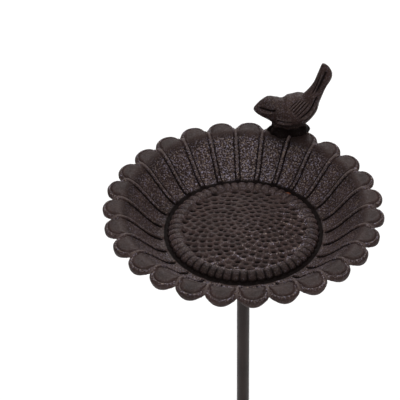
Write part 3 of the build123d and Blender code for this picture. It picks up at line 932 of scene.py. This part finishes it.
def build_pad():
    """The round pad under the rim that the bird's screw pulls against."""
    top = RIM + PAD_TOP
    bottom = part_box("bird_washer")[1].z / MM
    profile = [
        (0, top), (PAD_R - 0.2, top), (PAD_R, top - 1.2), (5.65, bottom + 1.4),
        (5.55, bottom + 0.6), (5.3, bottom + 0.15), (4.9, bottom), (2.4, bottom),
        (PAD_BORE_R, bottom + 0.2), (PAD_BORE_R, bottom + 1.5), (0, bottom + 1.5),
    ]
    piece = lathe("bird_screw_pad", profile)
    piece.data.transform(Matrix.Translation((SCREW_AXIS.x * MM, SCREW_AXIS.y * MM, 0)))
    return piece


# -------- materials
class Nodes:
    """A short way to write a material's nodes."""

    def __init__(self, name):
        self.material = bpy.data.materials.new(name)
        self.material.use_nodes = True
        self.tree = self.material.node_tree
        self.shader = self.tree.nodes["Principled BSDF"]

    def add(self, kind, **values):
        node = self.tree.nodes.new(kind)
        for key, value in values.items():
            setattr(node, key, value)
        return node

    def feed(self, target, value):
        if isinstance(value, bpy.types.NodeSocket):
            self.tree.links.new(value, target)
        else:
            target.default_value = value

    def place(self):
        """Position in millimetres."""
        coordinates = self.add("ShaderNodeTexCoord").outputs["Object"]
        scaled = self.add("ShaderNodeVectorMath", operation="SCALE")
        self.feed(scaled.inputs[0], coordinates)
        scaled.inputs["Scale"].default_value = 1000.0
        return scaled.outputs[0]

    def noise(self, vector, size, detail=3.0, roughness=0.55):
        """Noise whose features are about size millimetres across."""
        node = self.add("ShaderNodeTexNoise")
        self.feed(node.inputs["Vector"], vector)
        node.inputs["Scale"].default_value = 1 / size
        node.inputs["Detail"].default_value = detail
        node.inputs["Roughness"].default_value = roughness
        return node.outputs["Fac"]

    def math(self, operation, a, b=0.0, c=0.0, clamp=False):
        node = self.add("ShaderNodeMath", operation=operation, use_clamp=clamp)
        for socket, value in zip(node.inputs, (a, b, c)):
            self.feed(socket, value)
        return node.outputs[0]

    def spread(self, value, low, high, out_low=0.0, out_high=1.0):
        """Turns the range from low to high into the range from out_low to out_high."""
        node = self.add("ShaderNodeMapRange")
        for key, number in zip(range(5), (value, low, high, out_low, out_high)):
            self.feed(node.inputs[key], number)
        return node.outputs[0]

    def mix(self, share, a, b, blend="MIX"):
        node = self.add("ShaderNodeMix", data_type="RGBA", blend_type=blend)
        self.feed(node.inputs[0], share)
        self.feed(node.inputs[6], a)
        self.feed(node.inputs[7], b)
        return node.outputs[2]

    def attribute(self, name):
        return self.add("ShaderNodeAttribute", attribute_name=name).outputs["Fac"]

    def bump(self, height, distance, strength=1.0, below=None):
        """Relief from a height, with distance in metres, on top of the relief below it."""
        node = self.add("ShaderNodeBump")
        self.feed(node.inputs["Height"], height)
        node.inputs["Distance"].default_value = distance
        self.feed(node.inputs["Strength"], strength)
        if below is not None:
            self.feed(node.inputs["Normal"], below)
        return node.outputs[0]


DARK_BROWN = (0.0290, 0.0165, 0.0146, 1)
MID_BROWN = (0.0480, 0.0280, 0.0250, 1)
# tints of the grain's painted glints
GLINT_COOL = (0.330, 0.300, 0.400, 1)
GLINT_WARM = (0.300, 0.225, 0.175, 1)
# painted shade in crevices and pits
CREVICE_SHADE = (0.0035, 0.0024, 0.0022, 1)
# wear and painted highlight on convex edges
WEAR_AND_HIGHLIGHT = (0.130, 0.100, 0.094, 1)
RUST = (0.190, 0.052, 0.018, 1)
RUST_SPOT = (32.5, 40.0, -22.5)         # a fleck of rust where the paint has chipped
STEEL_DARK = (0.16, 0.155, 0.145, 1)
STEEL_LIGHT = (0.34, 0.33, 0.31, 1)
ROD_DARK = (0.0175, 0.0098, 0.0086, 1)
ROD_LIGHT = (0.0270, 0.0160, 0.0142, 1)
SOIL = (0.060, 0.042, 0.030, 1)


def cast_iron():
    """Dark brown paint over a grainy sand casting, with painted glints on the grain, painted shade
    in its crevices, and wear and painted highlight on its edges.
    """
    n = Nodes("cast_iron_brown")
    place = n.place()
    cloud = n.noise(place, 14.0, 4.0)
    colour = n.mix(n.spread(cloud, 0.35, 0.65), DARK_BROWN, MID_BROWN)
    grain_and_glints = n.attribute("grain_and_glints")
    speck = n.noise(place, 1.05, 2.0, 0.7)
    tint = n.mix(n.spread(n.noise(place, 1.7, 2.0), 0.4, 0.6), GLINT_WARM, GLINT_COOL)
    # painted glints: specks of the grain in bright tints
    sparkle = n.math("MULTIPLY", n.spread(speck, 0.51, 0.66), grain_and_glints, clamp=True)
    colour = n.mix(n.math("MULTIPLY", sparkle, 0.85), colour, tint)
    # dark specks in the grain's small pits, as painted shade
    pit = n.math("MULTIPLY", n.spread(speck, 0.46, 0.32), grain_and_glints, clamp=True)
    colour = n.mix(n.math("MULTIPLY", pit, 0.8), colour, CREVICE_SHADE)
    hollow = n.attribute("hollow")
    # wear and painted highlight on convex edges and the ridges' crests
    colour = n.mix(n.spread(hollow, 0.40, 0.12, 0.0, 0.55), colour, WEAR_AND_HIGHLIGHT)
    # painted shade in crevices, dimples, the groove, the creases, on the shaded sides and under
    # the bird
    colour = n.mix(n.spread(hollow, 0.54, 0.80, 0.0, 0.92), colour, CREVICE_SHADE)
    spot = n.add("ShaderNodeVectorMath", operation="DISTANCE")
    n.feed(spot.inputs[0], place)
    spot.inputs[1].default_value = (RUST_SPOT[0], RUST_SPOT[1], RIM + RUST_SPOT[2])
    torn = n.spread(n.noise(place, 0.9), 0.3, 0.7, -0.9, 0.9)
    ragged = n.math("ADD", spot.outputs["Value"], torn)
    colour = n.mix(n.spread(ragged, 2.2, 1.2), colour, RUST)
    n.feed(n.shader.inputs["Base Color"], colour)
    rough = n.spread(n.noise(place, 2.4, 3.0), 0.3, 0.7, 0.50, 0.66)
    rough = n.math("SUBTRACT", rough, n.math("MULTIPLY", sparkle, 0.2))
    n.feed(n.shader.inputs["Roughness"], rough)
    n.feed(n.shader.inputs["Specular IOR Level"], n.spread(hollow, 0.55, 0.85, 0.14, 0.02))
    strength = n.spread(grain_and_glints, 0.0, 1.0, 0.25, 1.0)
    broad = n.bump(n.noise(place, 3.2, 3.0), 0.00035, 0.5)
    fine = n.bump(n.noise(place, 0.95, 3.0, 0.65), 0.0005, strength, broad)
    n.feed(n.shader.inputs["Normal"], fine)
    return n.material


def painted_rod():
    """Smooth satin paint, with faint drawing lines, and roughened and soiled in the ground."""
    n = Nodes("painted_rod")
    place = n.place()
    stretched = n.add("ShaderNodeVectorMath", operation="MULTIPLY")
    n.feed(stretched.inputs[0], place)
    stretched.inputs[1].default_value = (1.0, 1.0, 0.06)
    streak = n.noise(stretched.outputs[0], 1.1, 3.0)
    cloud = n.noise(place, 30.0, 3.0)
    colour = n.mix(n.spread(cloud, 0.35, 0.65), ROD_DARK, ROD_LIGHT)
    colour = n.mix(n.spread(streak, 0.55, 0.75, 0.0, 0.35), colour, MID_BROWN)
    apart = n.add("ShaderNodeSeparateXYZ")
    n.feed(apart.inputs[0], place)
    buried = n.spread(apart.outputs["Z"], 6.0, -40.0)
    blotch = n.spread(n.noise(place, 2.6, 4.0, 0.7), 0.52, 0.66)
    colour = n.mix(n.math("MULTIPLY", n.math("MULTIPLY", buried, blotch), 0.55), colour, SOIL)
    n.feed(n.shader.inputs["Base Color"], colour)
    rough = n.spread(n.noise(place, 4.0, 3.0), 0.3, 0.7, 0.34, 0.48)
    rough = n.math("ADD", rough, n.math("MULTIPLY", n.math("MULTIPLY", buried, blotch), 0.3))
    n.feed(n.shader.inputs["Roughness"], rough)
    n.shader.inputs["Specular IOR Level"].default_value = 0.2
    peel = n.bump(n.noise(place, 1.5, 2.0), 0.00006, 0.6)
    n.feed(n.shader.inputs["Normal"], n.bump(streak, 0.00005, 0.5, peel))
    return n.material


def zinc_steel():
    """Dulled zinc plating with turning lines and darker blotches."""
    n = Nodes("fastener_steel")
    place = n.place()
    squeezed = n.add("ShaderNodeVectorMath", operation="MULTIPLY")
    n.feed(squeezed.inputs[0], place)
    squeezed.inputs[1].default_value = (0.25, 0.25, 9.0)
    lines = n.noise(squeezed.outputs[0], 1.6, 2.0)
    blotch = n.noise(place, 2.2, 4.0, 0.65)
    colour = n.mix(n.spread(blotch, 0.35, 0.65), STEEL_DARK, STEEL_LIGHT)
    n.feed(n.shader.inputs["Base Color"], colour)
    n.shader.inputs["Metallic"].default_value = 1.0
    n.feed(n.shader.inputs["Roughness"], n.spread(blotch, 0.3, 0.7, 0.34, 0.58))
    n.feed(n.shader.inputs["Normal"], n.bump(lines, 0.00004, 0.6))
    return n.material


def plain_floor():
    n = Nodes("pale_floor")
    n.shader.inputs["Base Color"].default_value = (0.93, 0.93, 0.93, 1)
    n.shader.inputs["Roughness"].default_value = 0.9
    n.shader.inputs["Specular IOR Level"].default_value = 0.0
    return n.material


# -------- put together
IRON, PAINT, STEEL = cast_iron(), painted_rod(), zinc_steel()


def coat(piece, material):
    piece.data.materials.clear()
    piece.data.materials.append(material)


def dress(piece, body, slot, material, *nodes):
    """Gives a new piece its body and material, and hides the CAD nodes that it stands for.  The
    slot is not used.
    """
    coat(piece, material)
    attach(piece, body)
    if nodes:
        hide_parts(*nodes)


dress(build_dish(), "dish", "cast_iron_brown", IRON, "dish")
dress(build_bird(), "dish", "cast_iron_brown", IRON, "bird")
dress(build_pad(), "dish", "cast_iron_brown", IRON)
dress(build_upper_rod(), "pole", "painted_rod", PAINT, "upper_rod")
dress(build_weld(), "stake", "painted_rod", PAINT, "foot_weld")
for node, material in {
    "lower_rod": PAINT,
    "step_foot": PAINT,
    "coupling_stud": STEEL,
    "dish_lock_nut": STEEL,
    "dish_washer": STEEL,
    "bird_screw": STEEL,
    "bird_washer": STEEL,
}.items():
    coat(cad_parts[node], material)

# -------- floor, light, camera
FLOOR_SIZE = 12.0               # metres
FLOOR_GAP = 0.002               # under the pole's point
floor_mesh = bpy.data.meshes.new("floor")
half = FLOOR_SIZE / 2
floor_z = CAD_BOX[0].z - FLOOR_GAP
corners = [(-half, -half), (half, -half), (half, half), (-half, half)]
floor_mesh.from_pydata([(x, y, floor_z) for x, y in corners], [], [(0, 1, 2, 3)])
floor = add_object("floor", floor_mesh)
floor_mesh.materials.append(plain_floor())

world = bpy.data.worlds.new("studio")
bpy.context.scene.world = world
world.use_nodes = True
world.node_tree.nodes["Background"].inputs["Color"].default_value = (1.0, 0.99, 0.985, 1)
world.node_tree.nodes["Background"].inputs["Strength"].default_value = 0.30


def softbox(name, place, target, width, height, power):
    light = bpy.data.lights.new(name, "AREA")
    light.shape = "RECTANGLE"
    light.size = width
    light.size_y = height
    light.energy = power
    holder = add_object(name, light)
    holder.location = place
    holder.rotation_euler = (Vector(target) - Vector(place)).to_track_quat("-Z", "Y").to_euler()


for name, lean, strength in (("front_sun", 36, 1.2), ("rear_sun", -34, 1.32)):
    sun = bpy.data.lights.new(name, "SUN")
    sun.energy = strength
    sun.angle = radians(30)
    holder = add_object(name, sun)
    holder.rotation_euler = (radians(lean), 0, radians(-2))
softbox("back_light", (0.1, 2.2, 1.9), (0, 0, RIM * MM), 0.6, 0.6, 16)

VIEW_DOWN, VIEW_ROLL = 39.62, 0.242    # degrees
VIEW_PLACE = (0.0012, -0.9230, RIM * MM + 0.7685)
camera = bpy.data.cameras.new("camera")
camera.lens = 152.63
camera.sensor_width = 36
camera.shift_x = -0.1132
viewpoint = add_object("camera", camera)
tilt = Matrix.Rotation(radians(90 - VIEW_DOWN), 4, "X")
roll = Matrix.Rotation(radians(VIEW_ROLL), 4, "Z")
viewpoint.matrix_world = Matrix.Translation(VIEW_PLACE) @ tilt @ roll
bpy.context.scene.camera = viewpoint
bpy.context.scene.view_settings.view_transform = "Standard"
